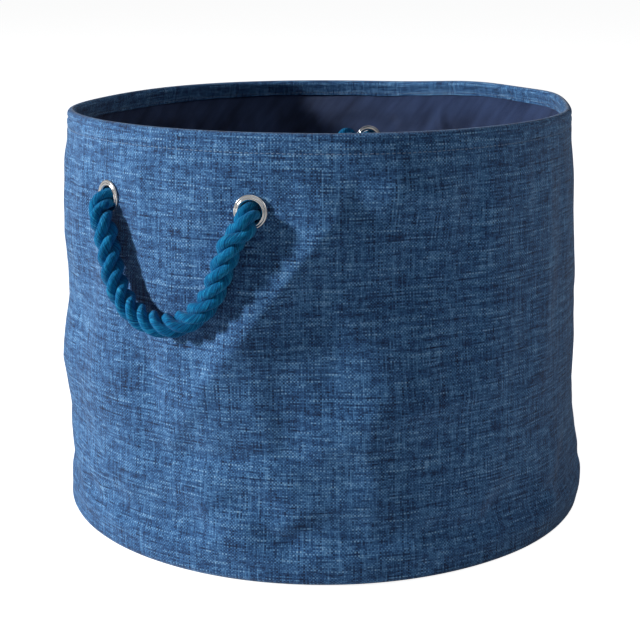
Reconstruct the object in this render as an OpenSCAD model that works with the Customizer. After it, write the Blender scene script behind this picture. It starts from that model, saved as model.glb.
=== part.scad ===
// Round fabric storage bin: a woven tube and base over a lining, a wire hoop in the rim,
// a stiff board in the base, and two rope handles knotted through metal eyelets.
// The bin stands on Z = 0, centred on the Z axis. One handle is at the front (-Y), one at the rear.

/* [Bin] */
// Height from the floor to the top of the rim
bin_h = 305; // [230:1:380]
// Outer diameter at the floor line
base_d = 400; // [384:1:420]
// Outer diameter at the top of the rim
rim_d = 381; // [360:1:400]
// Radius of the soft edge between the wall and the base
edge_r = 8; // [6:0.5:12]

/* [Fabric] */
// Thickness of the coated outer fabric
fabric_t = 1; // [0.8:0.1:1.2]
// Thickness of the lining
lining_t = 0.8; // [0.5:0.1:1]
// Room between the outer fabric and the lining, where the seam allowances lie
seam_room = 1.2; // [1:0.1:2]
// Width of a folded seam allowance
seam_w = 10; // [8:1:14]
// Height of the hem that is turned down inside the rim
hem_h = 15; // [12:1:20]

/* [Rim hoop] */
// Diameter of the steel wire in the rim
wire_d = 3.2; // [2.5:0.1:3.6]
// Outer diameter of the tube crimped over the wire's two ends
ferrule_d = 4.4; // [4.2:0.1:4.8]
// Length of that tube, as an angle around the hoop
ferrule_angle = 9; // [5:1:15]

/* [Base board] */
// Thickness of the stiff board under the lining's base
board_t = 2.5; // [2:0.5:4]

/* [Eyelets] */
// Distance between the two eyelets of one handle
eyelet_span = 117; // [100:1:130]
// Distance from the top of the rim down to the eyelets' centres
eyelet_drop = 51; // [45:1:60]
// Diameter of the hole through an eyelet
eyelet_bore = 15; // [14.6:0.1:16]
// Outer diameter of an eyelet's flange and of its washer
eyelet_d = 23; // [22:0.5:26]
// Thickness of an eyelet's rolled flange
flange_t = 1.2; // [1:0.1:1.4]
// Thickness of the barrel of an eyelet
barrel_t = 0.7; // [0.5:0.1:0.8]
// Thickness of the washer on the lining's side
washer_t = 1; // [0.8:0.1:1.2]

/* [Rope handles] */
// Diameter of the twisted rope
rope_d = 14; // [12:0.5:14]
// Distance from the eyelets down to the middle of the rope at the bottom of the loop
loop_drop = 77; // [70:1:90]
// Radius of the bend at the bottom of the loop
loop_r = 45; // [38:1:50]
// How far in front of the eyelets the rope turns down
loop_standoff = 10; // [9:0.5:12]
// Gap between the hanging loop and the wall
loop_gap = 0.6; // [0.4:0.1:2]
// Diameter of the knot behind an eyelet
knot_d = 38; // [34:1:42]
// Length of rope that hangs below the middle of a knot
tail_l = 42; // [34:1:50]

/* [Seams] */
// Direction of the outer fabric's side seam, counted from +X
side_seam_angle = 64; // [60:1:66]
// Direction of the lining's side seam, counted from +X
lining_seam_angle = 86; // [80:1:92]

/* [Hidden] */
$fn = 96;

outer_blue = "#4c6f9b";
lining_navy = "#1c2a42";
rope_teal = "#14608a";
steel = "#c9ccd1";
board_grey = "#6d6a66";

// A gap that keeps two solids apart, and a lap that joins two shapes of one solid
clearance = 0.1;
lap = 0.5;
front = -90;
rear = 90;
left = -1;
right = 1;

// Wall: a gently tapered tube, wider at the floor
wall_lean = atan((base_d - rim_d) / 2 / bin_h);
function wall_r(z) = (base_d - (base_d - rim_d) * z / bin_h) / 2;
function inset_r(z, inset) = wall_r(z) - inset / cos(wall_lean);
function edge_centre_r(inset, low, corner) = inset_r(low + corner, inset) - corner / cos(wall_lean);

// Rim: the fabric rolls over a channel that holds the wire and its ferrule
channel_r = ferrule_d / 2 + clearance;
roll_r = channel_r + fabric_t;
hoop_z = bin_h - roll_r;
hoop_r = wall_r(hoop_z) - roll_r;
hem_z = bin_h - hem_h;

// Lining: hangs inside the seam room and lies on the base board
lining_inset = fabric_t + seam_room;
lining_low = fabric_t + board_t;
lining_edge_r = edge_r - fabric_t - 1;
lining_top = hem_z + hem_h / 2;
inside_inset = lining_inset + lining_t;

// Base: the seam allowances lie flat around the board
bottom_r = edge_centre_r(0, 0, edge_r);
lining_base_r = edge_centre_r(lining_inset, lining_low, lining_edge_r);
board_r = bottom_r - seam_w - 2 * clearance;
seam_low = edge_r + lining_low;

// Eyelets: a flange outside, a washer and a rolled end inside, with the whole wall between them
eyelet_z = bin_h - eyelet_drop;
eyelet_angle = asin(eyelet_span / 2 / wall_r(eyelet_z));
barrel_r = eyelet_bore / 2 + barrel_t;
flange_seat = 0.45;
washer_seat = -inside_inset - 0.8;
rolled_end = washer_seat - washer_t;
knot_centre = rolled_end - flange_t - knot_d / 2 - clearance;
stub_end = 1;

// Rope loop: two straight legs that run into a round bend, leaning out over the wall
hinge_y = sqrt(pow(wall_r(eyelet_z), 2) - pow(eyelet_span / 2, 2)) + loop_standoff;
loop_y = wall_r(eyelet_z - loop_drop) + rope_d / 2 + loop_gap;
loop_lean = asin((loop_y - hinge_y) / loop_drop);
bend_depth = loop_drop - loop_r;
leg_start = [eyelet_span / 2, 0];
bend_angle = acos(loop_r / norm([leg_start.x, bend_depth])) - atan2(bend_depth, leg_start.x);
leg_end = [loop_r * cos(bend_angle), -bend_depth - loop_r * sin(bend_angle)];
leg = leg_end - leg_start;

// Half section of the bin's shape, filled, inset from the wall and raised from the floor
module filled_section(inset, low, corner, top) {
    centre_r = edge_centre_r(inset, low, corner);
    polygon([
        [0, low],
        [centre_r, low],
        [centre_r + corner * cos(wall_lean), low + corner + corner * sin(wall_lean)],
        [inset_r(top, inset), top],
        [0, top]
    ]);
    translate([centre_r, low + corner])
        circle(corner);
}

// Half section of a cloth shell of the bin's shape, without its flat base
module shell_section(inset, low, corner, thick, top) {
    difference() {
        filled_section(inset, low, corner, top);
        filled_section(inset + thick, low + thick, corner - thick, top + 1);
        translate([0, low - 1])
            square([edge_centre_r(inset, low, corner), thick + 2]);
    }
}

// The fabric's top edge: over the hoop's channel and down inside it to the hem line
module hem_section() {
    flap_top = hoop_r - roll_r;
    flap_low = inset_r(hem_z, inside_inset + fabric_t);
    difference() {
        translate([hoop_r, hoop_z])
            circle(roll_r);
        translate([hoop_r, hoop_z])
            circle(channel_r);
        translate([hoop_r - roll_r, hoop_z - roll_r - lap])
            square([2 * roll_r, roll_r]);
    }
    polygon([
        [flap_low, hem_z],
        [flap_low + fabric_t, hem_z],
        [flap_top + fabric_t, hoop_z],
        [flap_top, hoop_z]
    ]);
}

// A strip of folded cloth that runs up the wall, outside or inside the seam room
module seam_strip(angle, near, far) {
    width = seam_w / wall_r(bin_h / 2) * 180 / PI;
    rotate([0, 0, angle - width / 2])
        rotate_extrude(angle = width)
            polygon([
                [inset_r(seam_low, far), seam_low],
                [inset_r(seam_low, near), seam_low],
                [inset_r(lining_top, near), lining_top],
                [inset_r(lining_top, far), lining_top]
            ]);
}

// Places something at an eyelet, with local Z outwards through the wall and local X down
module at_eyelet(side, hand) {
    turn = side == front ? hand * eyelet_angle : -hand * eyelet_angle;
    rotate([0, 0, side + turn])
        translate([wall_r(eyelet_z), 0, eyelet_z])
            rotate([0, 90, 0])
                children();
}

module eyelet_holes() {
    for (side = [front, rear], hand = [left, right])
        at_eyelet(side, hand)
            cylinder(r = barrel_r + clearance, h = 40, center = true);
}

module outer_wall() {
    color(outer_blue)
        difference() {
            rotate_extrude() {
                shell_section(0, 0, edge_r, fabric_t, hoop_z);
                hem_section();
            }
            eyelet_holes();
        }
}

module outer_base() {
    color(outer_blue)
        cylinder(r = bottom_r, h = fabric_t);
}

module lining_wall() {
    color(lining_navy)
        difference() {
            rotate_extrude()
                shell_section(lining_inset, lining_low, lining_edge_r, lining_t, lining_top);
            eyelet_holes();
        }
}

module lining_base() {
    color(lining_navy)
        translate([0, 0, lining_low])
            cylinder(r = lining_base_r, h = lining_t);
}

module rim_hoop() {
    color(steel)
        rotate_extrude()
            translate([hoop_r, hoop_z])
                circle(d = wire_d);
}

module hoop_ferrule() {
    color(steel)
        rotate([0, 0, side_seam_angle - ferrule_angle / 2])
            rotate_extrude(angle = ferrule_angle)
                translate([hoop_r, hoop_z])
                    difference() {
                        circle(d = ferrule_d);
                        circle(d = wire_d);
                    }
}

module base_board() {
    color(board_grey)
        translate([0, 0, fabric_t])
            cylinder(r = board_r, h = board_t);
}

// The wall's and the base's edges, sewn together and turned in under the lining
module bottom_seam() {
    color(outer_blue)
        translate([0, 0, fabric_t])
            difference() {
                cylinder(r = bottom_r, h = 2 * fabric_t);
                translate([0, 0, -1])
                    cylinder(r = bottom_r - seam_w, h = 2 * fabric_t + 2);
            }
}

module side_seam() {
    color(outer_blue)
        seam_strip(side_seam_angle, fabric_t, lining_inset - clearance);
}

module lining_seam() {
    color(lining_navy)
        seam_strip(lining_seam_angle, fabric_t + clearance, lining_inset);
}

// A ring with a round inner and outer edge
module rolled_ring(inner_r, outer_r, thick) {
    rotate_extrude() {
        translate([inner_r + thick / 2, 0])
            square([outer_r - inner_r - thick, thick]);
        translate([inner_r + thick / 2, thick / 2])
            circle(d = thick);
        translate([outer_r - thick / 2, thick / 2])
            circle(d = thick);
    }
}

module eyelet() {
    barrel_low = rolled_end - flange_t / 2;
    color(steel) {
        translate([0, 0, flange_seat])
            rolled_ring(eyelet_bore / 2, eyelet_d / 2, flange_t);
        translate([0, 0, rolled_end - flange_t])
            rolled_ring(eyelet_bore / 2, barrel_r + 1.6, flange_t);
        difference() {
            translate([0, 0, barrel_low])
                cylinder(r = barrel_r, h = flange_seat + flange_t / 2 - barrel_low);
            cylinder(d = eyelet_bore, h = 40, center = true);
        }
    }
}

module washer() {
    color(steel)
        translate([0, 0, rolled_end])
            difference() {
                cylinder(d = eyelet_d, h = washer_t);
                translate([0, 0, -1])
                    cylinder(r = barrel_r + clearance, h = washer_t + 2);
            }
}

// One end of the rope: in through the eyelet, round in a knot, and a cut tail hanging down
module knot() {
    color(rope_teal) {
        translate([0, 0, knot_centre])
            cylinder(d = rope_d, h = stub_end - knot_centre);
        translate([0, 0, knot_centre])
            sphere(d = knot_d);
        translate([0, 0, knot_centre])
            rotate([0, 100, 0])
                cylinder(d = rope_d, h = tail_l);
    }
}

// One leg of the loop, with a round end at the hinge line
module rope_leg() {
    translate([leg_start.x, leg_start.y, 0])
        rotate([0, 0, atan2(leg.y, leg.x)])
            rotate([0, 90, 0])
                rotate_extrude() {
                    square([rope_d / 2, norm(leg) + lap]);
                    intersection() {
                        circle(d = rope_d);
                        translate([0, -rope_d])
                            square(rope_d);
                    }
                }
}

// The loop hangs from its hinge line, which runs along X in front of the two eyelets.
// Its bend is a hair thicker than its legs, so that each leg ends inside it.
module rope_handle(side) {
    color(rope_teal)
        rotate([0, 0, side - front])
            translate([0, -hinge_y, eyelet_z])
                rotate([-loop_lean, 0, 0])
                    rotate([90, 0, 0]) {
                        rope_leg();
                        mirror([1, 0, 0])
                            rope_leg();
                        translate([0, -bend_depth, 0])
                            rotate([0, 0, 180 + bend_angle])
                                rotate_extrude(angle = 180 - 2 * bend_angle)
                                    translate([loop_r, 0])
                                        circle(d = rope_d + 2 * clearance);
                    }
}

outer_wall();
outer_base();
lining_wall();
lining_base();
rim_hoop();
hoop_ferrule();
base_board();
bottom_seam();
side_seam();
lining_seam();
at_eyelet(front, left) eyelet();  // eyelet_front_left
at_eyelet(front, right) eyelet();  // eyelet_front_right
at_eyelet(rear, left) eyelet();  // eyelet_rear_left
at_eyelet(rear, right) eyelet();  // eyelet_rear_right
at_eyelet(front, left) washer();  // washer_front_left
at_eyelet(front, right) washer();  // washer_front_right
at_eyelet(rear, left) washer();  // washer_rear_left
at_eyelet(rear, right) washer();  // washer_rear_right
at_eyelet(front, left) knot();  // knot_front_left
at_eyelet(front, right) knot();  // knot_front_right
at_eyelet(rear, left) knot();  // knot_rear_left
at_eyelet(rear, right) knot();  // knot_rear_right
rope_handle(front);  // rope_handle_front
rope_handle(rear);  // rope_handle_rear
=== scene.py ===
"""Looks of the round fabric storage bin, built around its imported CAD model.

Lengths are millimetres in the code and metres in Blender. An angle phi is counted from the
front (-Y) towards the right (+X), in degrees; the eyelet frames have local Z outwards and X down.
"""
import math

import bmesh
import bpy
import numpy as np
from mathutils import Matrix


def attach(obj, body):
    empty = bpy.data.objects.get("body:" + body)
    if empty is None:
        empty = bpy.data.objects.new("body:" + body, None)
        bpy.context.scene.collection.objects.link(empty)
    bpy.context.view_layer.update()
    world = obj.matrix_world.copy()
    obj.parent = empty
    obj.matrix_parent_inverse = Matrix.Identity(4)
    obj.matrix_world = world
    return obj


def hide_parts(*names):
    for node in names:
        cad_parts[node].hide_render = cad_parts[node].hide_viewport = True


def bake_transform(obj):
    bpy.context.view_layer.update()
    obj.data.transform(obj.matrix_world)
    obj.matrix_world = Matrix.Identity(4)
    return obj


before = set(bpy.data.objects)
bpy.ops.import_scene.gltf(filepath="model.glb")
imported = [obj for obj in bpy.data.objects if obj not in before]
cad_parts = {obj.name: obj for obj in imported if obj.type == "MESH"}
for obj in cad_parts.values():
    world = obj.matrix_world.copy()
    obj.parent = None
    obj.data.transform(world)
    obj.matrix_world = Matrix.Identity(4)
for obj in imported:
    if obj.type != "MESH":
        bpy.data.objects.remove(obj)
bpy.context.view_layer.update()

MM = 0.001

# ---------------------------------------------------------------- sizes, as in the CAD model
BIN_H, BASE_D, RIM_D, EDGE_R = 305.0, 400.0, 381.0, 8.0
CLOTH_T, LINING_T, SEAM_ROOM, SEAM_W, HEM_H = 1.0, 0.8, 1.2, 10.0, 15.0
WIRE_D, FERRULE_D, FERRULE_ANGLE = 3.2, 4.4, 9.0
BOARD_T = 2.5
EYELET_SPAN, EYELET_DROP = 117.0, 51.0
ROPE_D = 14.0
LOOP_DROP, LOOP_R, LOOP_STANDOFF, LOOP_GAP = 77.0, 45.0, 10.0, 0.6
SIDE_SEAM_PHI, LINING_SEAM_PHI = 90.0 + 64.0, 90.0 + 86.0

LEAN = math.atan((BASE_D - RIM_D) / 2 / BIN_H)
ROLL_R = FERRULE_D / 2 + 0.1 + CLOTH_T
HOOP_Z = BIN_H - ROLL_R
HEM_Z = BIN_H - HEM_H
STITCH_Z = HEM_Z + 2.0
EYELET_Z = BIN_H - EYELET_DROP


def wall_r(z):
    return (BASE_D - (BASE_D - RIM_D) * z / BIN_H) / 2


HOOP_R = wall_r(HOOP_Z) - ROLL_R
LINING_INSET = CLOTH_T + SEAM_ROOM
LINING_LOW = CLOTH_T + BOARD_T
BOTTOM_R = wall_r(EDGE_R) - EDGE_R / math.cos(LEAN)
# the cloth's own corner at the base is drawn tighter than the CAD model's
CORNER_R = 5.0
CORNER_X = wall_r(CORNER_R) - CORNER_R / math.cos(LEAN)
EYELET_PHI = math.degrees(math.asin(EYELET_SPAN / 2 / wall_r(EYELET_Z)))
EYELET_PHIS = {
    "front_left": -EYELET_PHI, "front_right": EYELET_PHI,
    "rear_left": 180 + EYELET_PHI, "rear_right": 180 - EYELET_PHI,
}
HINGE_Y = math.sqrt(wall_r(EYELET_Z) ** 2 - (EYELET_SPAN / 2) ** 2) + LOOP_STANDOFF
LOOP_Y = wall_r(EYELET_Z - LOOP_DROP) + ROPE_D / 2 + LOOP_GAP
LOOP_LEAN = math.asin((LOOP_Y - HINGE_Y) / LOOP_DROP)

# ---------------------------------------------------------------- camera and light
scene = bpy.context.scene
cam_data = bpy.data.cameras.new("camera")
camera = bpy.data.objects.new("camera", cam_data)
scene.collection.objects.link(camera)
scene.camera = camera
cam_data.lens, cam_data.sensor_width = 82.0, 36.0
cam_data.clip_end = 50
camera.location = (0.578, -0.954, 0.421)
camera.rotation_euler = (math.radians(90 - 14.43), 0, math.radians(31.2))


def aim(obj, target):
    way = np.array(target, float) - np.array(obj.location, float)
    flat = math.hypot(way[0], way[1])
    obj.rotation_euler = (math.atan2(flat, -way[2]), 0, math.atan2(-way[0], way[1]))


def softbox(name, phi, elevation, distance, size, power, target=(0, 0, 0.15)):
    """A rectangular studio light at angle phi round the bin, aimed at its middle."""
    data = bpy.data.lights.new(name, "AREA")
    data.shape = "RECTANGLE"
    data.size, data.size_y = size
    data.energy = power
    light = bpy.data.objects.new(name, data)
    scene.collection.objects.link(light)
    a, e = math.radians(phi), math.radians(elevation)
    light.location = (
        target[0] + distance * math.cos(e) * math.sin(a),
        target[1] - distance * math.cos(e) * math.cos(a),
        target[2] + distance * math.sin(e),
    )
    aim(light, target)
    return light


softbox("key", -46, 20, 4.5, (0.4, 0.55), 208)
softbox("fill_right", 108, 32, 2.4, (1.2, 1.0), 6.2)
softbox("top", 60, 78, 2.2, (1.6, 1.6), 3)
scene.view_settings.view_transform = "Standard"
scene.view_settings.look = "None"


# ---------------------------------------------------------------- node helpers
class Nodes:
    """Short ways to add shader nodes to a material or world, and link them."""

    def __init__(self, holder):
        self.holder = holder
        holder.use_nodes = True
        self.tree = holder.node_tree
        self.tree.nodes.clear()

    def add(self, kind, inputs=(), **settings):
        node = self.tree.nodes.new("ShaderNode" + kind)
        for key, value in settings.items():
            setattr(node, key, value)
        for key, value in dict(inputs).items():
            if isinstance(value, bpy.types.NodeSocket):
                self.tree.links.new(value, node.inputs[key])
            else:
                node.inputs[key].default_value = value
        return node

    def math(self, operation, a, b=0.0, c=0.0):
        return self.add("Math", {0: a, 1: b, 2: c}, operation=operation).outputs[0]

    def plus(self, a, b):
        return self.math("ADD", a, b)

    def less(self, a, b):
        return self.math("SUBTRACT", a, b)

    def times(self, a, b):
        return self.math("MULTIPLY", a, b)

    def times_plus(self, a, b, c):
        return self.math("MULTIPLY_ADD", a, b, c)

    def noise(self, vector, scale=1.0, detail=2.0, rough=0.5):
        inputs = {"Vector": vector, "Scale": scale, "Detail": detail, "Roughness": rough}
        return self.add("TexNoise", inputs).outputs[0]

    def xyz(self, x=0.0, y=0.0, z=0.0):
        return self.add("CombineXYZ", {0: x, 1: y, 2: z}).outputs[0]

    def uv(self, name):
        place = self.add("UVMap", uv_map=name).outputs[0]
        return self.add("SeparateXYZ", {0: place}).outputs

    def object_place(self):
        return self.add("TexCoord").outputs["Object"]

    def ramp(self, value, stops):
        node = self.add("ValToRGB", {0: value})
        band = node.color_ramp
        while len(band.elements) < len(stops):
            band.elements.new(0.5)
        for element, (place, colour) in zip(band.elements, stops):
            element.position = place
            element.color = (*colour, 1)
        return node.outputs[0]

    def mix(self, share, a, b):
        """Colours a to b. A colour is three numbers."""
        return self.add("Mix", {0: share, 6: (*a, 1), 7: (*b, 1)}, data_type="RGBA").outputs[2]

    def bump(self, height, distance, strength):
        inputs = {"Height": height, "Distance": distance, "Strength": strength}
        return self.add("Bump", inputs).outputs[0]

    def surface(self, colour, rough, normal, sheen=0.0, sheen_rough=0.5, specular=0.5,
                metallic=0.0):
        """The finished material. Plain numbers stay on the shader's own sockets."""
        shader = self.add("BsdfPrincipled", {
            "Base Color": colour, "Roughness": rough, "Normal": normal, "Metallic": metallic,
            "Sheen Weight": sheen, "Sheen Roughness": sheen_rough, "Specular IOR Level": specular,
        })
        self.add("OutputMaterial", {0: shader.outputs[0]})
        return self.holder


def material_nodes(name):
    return Nodes(bpy.data.materials.new(name))


def srgb(r, g, b):
    """An sRGB colour of 0 to 255 as linear values."""
    return tuple(c / 3294.6 if c <= 10.3 else ((c / 255 + 0.055) / 1.055) ** 2.4 for c in (r, g, b))


# ---------------------------------------------------------------- materials
def woven_material(name, pitch, stops):
    """A plain weave of slubby yarns, its map in metres: x along the weft, y along the warp. Painted
    shade darkens each yarn where it dives under its neighbours.
    """
    rough, sheen, relief = 0.8, 0.25, 0.00028
    n = material_nodes(name)
    u, v, _ = n.uv("weave")
    # the yarns wander a little
    v2 = n.times_plus(n.noise(n.xyz(u, v), 45.0, 1.0), 0.0011, v)
    u2 = n.times_plus(n.noise(n.xyz(v, u, 3.0), 40.0, 1.0), 0.0009, u)
    x, y = n.math("DIVIDE", u2, pitch), n.math("DIVIDE", v2, pitch)
    col, row = n.math("FLOOR", x), n.math("FLOOR", y)
    fx, fy = n.math("FRACT", x), n.math("FRACT", y)
    weft_up = n.math("FLOORED_MODULO", n.plus(col, row), 2.0)
    warp_up = n.less(1.0, weft_up)

    def drawn_out(index, length, spread, cells, seed):
        """Noise about 0 that is drawn out along a yarn."""
        place = n.xyz(n.times(length, cells), n.times(index, spread), seed)
        return n.less(n.noise(place, 1.0, 1.0), 0.5)

    def yarn(index, length, seed, amount, base):
        """Tone of a yarn about its base, from its own dye, long slubs and short ones."""
        dye = n.add("TexWhiteNoise", {"W": n.plus(index, seed)}, noise_dimensions="1D").outputs[0]
        long = drawn_out(index, length, 7.31, 42.0, seed)
        short = drawn_out(index, length, 5.17, 190.0, seed)
        tone = n.times_plus(n.less(dye, 0.5), 0.16 * amount, base)
        tone = n.times_plus(long, 0.9 * amount, tone)
        return n.times_plus(short, 0.75 * amount, tone)

    weft, warp = yarn(row, u, 11.0, 1.0, 0.10), yarn(col, v, 57.0, 0.8, -0.09)
    top = n.plus(n.times(weft, weft_up), n.times(warp, warp_up))
    both = n.times_plus(n.plus(weft, warp), 0.32, n.times(top, 0.60))

    def bulge(f):
        """Height across a round yarn."""
        c = n.times_plus(f, 2.0, -1.0)
        return n.math("SQRT", n.math("MAXIMUM", n.less(1.0, n.times(c, c)), 0.02))

    # each yarn dives under its neighbours
    bx, by = bulge(fx), bulge(fy)
    weft_height = n.times(by, n.times_plus(bx, 0.5, 0.5))
    warp_height = n.times(bx, n.times_plus(by, 0.5, 0.5))
    over = n.plus(n.times(weft_height, weft_up), n.times(warp_height, warp_up))
    cloud = n.less(n.noise(n.xyz(u, v, 9.0), 14.0, 3.0, 0.6), 0.5)
    fuzz = n.less(n.noise(n.xyz(u, v, 6.0), 950.0, 2.0, 0.6), 0.5)
    # the colour is darker where a yarn dives under its neighbours and paler on its crown: painted
    # shade and light between the yarns, added to the yarns' own dyed tones
    yarn_tone_and_gap_shade = n.times_plus(n.less(over, 0.62), 0.2, both)
    yarn_tone_and_gap_shade = n.times_plus(cloud, 0.13, n.times_plus(fuzz, 0.55, yarn_tone_and_gap_shade))
    colour = n.ramp(n.times_plus(yarn_tone_and_gap_shade, 1.2, 0.5), stops)
    fine = n.noise(n.xyz(u, v, 4.0), 2600.0, 1.0)
    height = n.times_plus(fine, 0.22, n.times_plus(both, 0.35, over))
    roughness = n.times_plus(over, -0.12, rough + 0.06)
    return n.surface(colour, roughness, n.bump(height, relief, 0.85), sheen, 0.45, 0.25)


BLUE_STOPS = [
    (0.00, srgb(6, 26, 54)), (0.26, srgb(17, 49, 90)), (0.50, srgb(46, 95, 149)),
    (0.74, srgb(90, 146, 200)), (1.00, srgb(146, 192, 230)),
]


def lining_material():
    """Smooth navy taffeta: fine yarns, a soft gloss and faint pressed creases, whose light and
    shade are also painted into the colour.
    """
    n = material_nodes("lining_navy")
    u, v, _ = n.uv("weave")
    yarns = 2 * math.pi / 0.00042
    fine = n.times(n.math("SINE", n.times(u, yarns)), n.math("SINE", n.times(v, yarns)))
    cloud = n.noise(n.xyz(u, v), 22.0, 4.0, 0.6)
    slant = n.times_plus(v, 0.8, u)
    crease = n.noise(n.xyz(slant, n.times(v, 0.3), 2.0), 70.0, 3.0)
    # the colour follows the crease noise that also makes the bump: painted light on the creases'
    # crowns and painted shade in their troughs, with random cloudy tone
    crease_light_and_tone = n.times_plus(crease, 1.3, n.times_plus(cloud, 0.5, -0.4))
    colour = n.mix(crease_light_and_tone, srgb(18, 28, 60), srgb(78, 100, 148))
    height = n.times_plus(crease, 0.5, n.times(fine, 0.05))
    rough = n.times_plus(cloud, 0.2, 0.42)
    return n.surface(colour, rough, n.bump(height, 0.004, 0.8), 0.06, 0.4, 0.25)


def rope_material():
    """Dyed cotton: fine fibres along each strand. The colour follows the bump, paler on the fibres'
    crowns and dark in their grooves: painted light and shade over the dye's random tone.
    """
    n = material_nodes("rope_cotton")
    s, a, _ = n.uv("strand")
    skew = n.times(n.times_plus(s, 31.0, a), 2 * math.pi)
    cos, sin = n.math("COSINE", skew), n.math("SINE", skew)

    def strands(lengthwise, around, detail):
        """Noise drawn out along the yarns, with no seam round the strand."""
        place = n.xyz(n.times(s, lengthwise), n.times(cos, around), n.times(sin, around))
        return n.noise(place, 1.0, detail, 0.65)

    fibre, coarse = strands(110.0, 6.0, 3.0), strands(45.0, 1.8, 2.0)
    cloud = n.noise(n.add("NewGeometry").outputs["Position"], 45.0, 2.0)
    # the tone rises with the same fibre and coarse noise that raises the bump: painted light on the
    # crowns and painted shade in the grooves, plus random cloudy tone
    tone = n.times_plus(coarse, 0.5, n.times(cloud, 0.3))
    tone = n.less(n.times_plus(fibre, 2.0, tone), 0.9)
    colour = n.ramp(tone, [
        (0.0, srgb(0, 52, 100)), (0.35, srgb(2, 94, 148)),
        (0.65, srgb(8, 130, 186)), (1.0, srgb(70, 180, 222)),
    ])
    height = n.times_plus(fibre, 0.9, n.times(coarse, 0.4))
    return n.surface(colour, 0.9, n.bump(height, 0.0014, 0.9), 0.08, 0.5, 0.1)


def metal_material(name, tint, rough, brushed=0.0):
    """Polished or brushed metal with faint handling scratches."""
    n = material_nodes(name)
    place = n.object_place()
    scratch = n.noise(place, 900.0, 3.0, 0.7)
    smudge = n.noise(place, 120.0, 2.0)
    roughness = n.times_plus(scratch, 0.10 + brushed, rough - 0.1)
    roughness = n.times_plus(smudge, 0.12, roughness)
    colour = n.mix(smudge, tint, tuple(c * 0.86 for c in tint))
    return n.surface(colour, roughness, n.bump(scratch, 0.00004, 0.4), metallic=1.0)


def thread_material():
    n = material_nodes("thread_blue")
    tone = n.noise(n.object_place(), 700.0, 2.0)
    colour = n.mix(tone, srgb(74, 108, 150), srgb(140, 172, 206))
    return n.surface(colour, 0.6, n.bump(tone, 0.0001, 0.5), sheen=0.2)


def board_material():
    n = material_nodes("base_board_grey")
    place = n.object_place()
    fleck = n.noise(place, 420.0, 3.0, 0.7)
    cloud = n.noise(place, 12.0, 3.0)
    share = n.times_plus(fleck, 0.6, n.times(cloud, 0.4))
    colour = n.mix(share, srgb(88, 85, 80), srgb(140, 136, 128))
    return n.surface(colour, 0.75, n.bump(fleck, 0.0002, 0.5))


WEAVE_PITCH = 0.00115
# radii in mm at which the weave's maps are laid out round the bin
OUTER_MAP_R, LINING_MAP_R, BOTTOM_MAP_R, STRIP_MAP_R = 191.0, 188.0, 187.0, 190.0
FABRIC = woven_material("outer_weave", WEAVE_PITCH, BLUE_STOPS)
LINING = lining_material()
ROPE = rope_material()
CHROME = metal_material("eyelet_nickel", srgb(232, 230, 228), 0.12)
STEEL = metal_material("hoop_steel", srgb(188, 190, 194), 0.34, 0.15)
THREAD = thread_material()
BOARD = board_material()


# ---------------------------------------------------------------- mesh helpers
def make_mesh(name, points, faces, material, uv=None, uv_name="weave"):
    """A smooth mesh from points in mm, an array of quads or a list of faces, and a uv pair in
    metres for each corner."""
    mesh = bpy.data.meshes.new(name)
    if isinstance(faces, list):
        mesh.from_pydata([tuple(p) for p in points * MM], [], faces)
    else:
        mesh.vertices.add(len(points))
        mesh.vertices.foreach_set("co", (np.asarray(points, np.float32) * MM).ravel())
        mesh.loops.add(faces.size)
        mesh.loops.foreach_set("vertex_index", faces.ravel().astype(np.int32))
        mesh.polygons.add(len(faces))
        mesh.polygons.foreach_set("loop_start", np.arange(0, faces.size, 4, dtype=np.int32))
        mesh.update(calc_edges=True)
        mesh.validate()
    if uv is not None:
        layer = mesh.uv_layers.new(name=uv_name)
        layer.data.foreach_set("uv", np.asarray(uv, np.float32).ravel())
    mesh.polygons.foreach_set("use_smooth", np.ones(len(mesh.polygons), bool))
    mesh.materials.append(material)
    obj = bpy.data.objects.new(name, mesh)
    scene.collection.objects.link(obj)
    return obj


def grid_faces(rows, cols, wrap):
    """Quads of a grid of rows by cols points, closed along its columns where wrap is true."""
    c = np.arange(cols if wrap else cols - 1)
    rr, cc = np.meshgrid(np.arange(rows - 1) * cols, c, indexing="ij")
    nxt = (cc + 1) % cols
    return np.stack([rr + cc, rr + nxt, rr + cols + nxt, rr + cols + cc], -1).reshape(-1, 4)


def ring_faces(rows, cols):
    """Quads of a grid that is closed both ways."""
    faces = grid_faces(rows + 1, cols, True)
    return np.where(faces >= rows * cols, faces - rows * cols, faces)


def grid_uv(u, v):
    """Corner uvs of such a grid, from one u for each column and one v for each row."""
    a = np.stack(np.meshgrid(u, v), -1)
    return np.stack([a[:-1, :-1], a[:-1, 1:], a[1:, 1:], a[1:, :-1]], 2).reshape(-1, 2)


def tube_uv(phi, lengths, radius):
    """Corner uvs of a closed tube: its girth at that radius, and its lengths in mm."""
    u = np.radians(phi) * radius
    return grid_uv(np.append(u, u[0] + 2 * math.pi * radius) * MM, np.asarray(lengths) * MM)


def turned_over(faces, uv):
    """The same quads seen from their other side."""
    return faces[:, ::-1], uv.reshape(-1, 4, 2)[:, ::-1].reshape(-1, 2)


def thicken(obj, thickness):
    """The sheet gets a thickness in mm, behind its face."""
    solid = obj.modifiers.new("thickness", "SOLIDIFY")
    solid.thickness = thickness * MM
    solid.offset = -1
    solid.use_even_offset = True
    graph = bpy.context.evaluated_depsgraph_get()
    mesh = bpy.data.meshes.new_from_object(
        obj.evaluated_get(graph), preserve_all_data_layers=True, depsgraph=graph)
    obj.modifiers.clear()
    old, obj.data = obj.data, mesh
    bpy.data.meshes.remove(old)
    return obj


def face_outwards(obj):
    bm = bmesh.new()
    bm.from_mesh(obj.data)
    bmesh.ops.recalc_face_normals(bm, faces=bm.faces)
    bm.to_mesh(obj.data)
    bm.free()
    return obj


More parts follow.
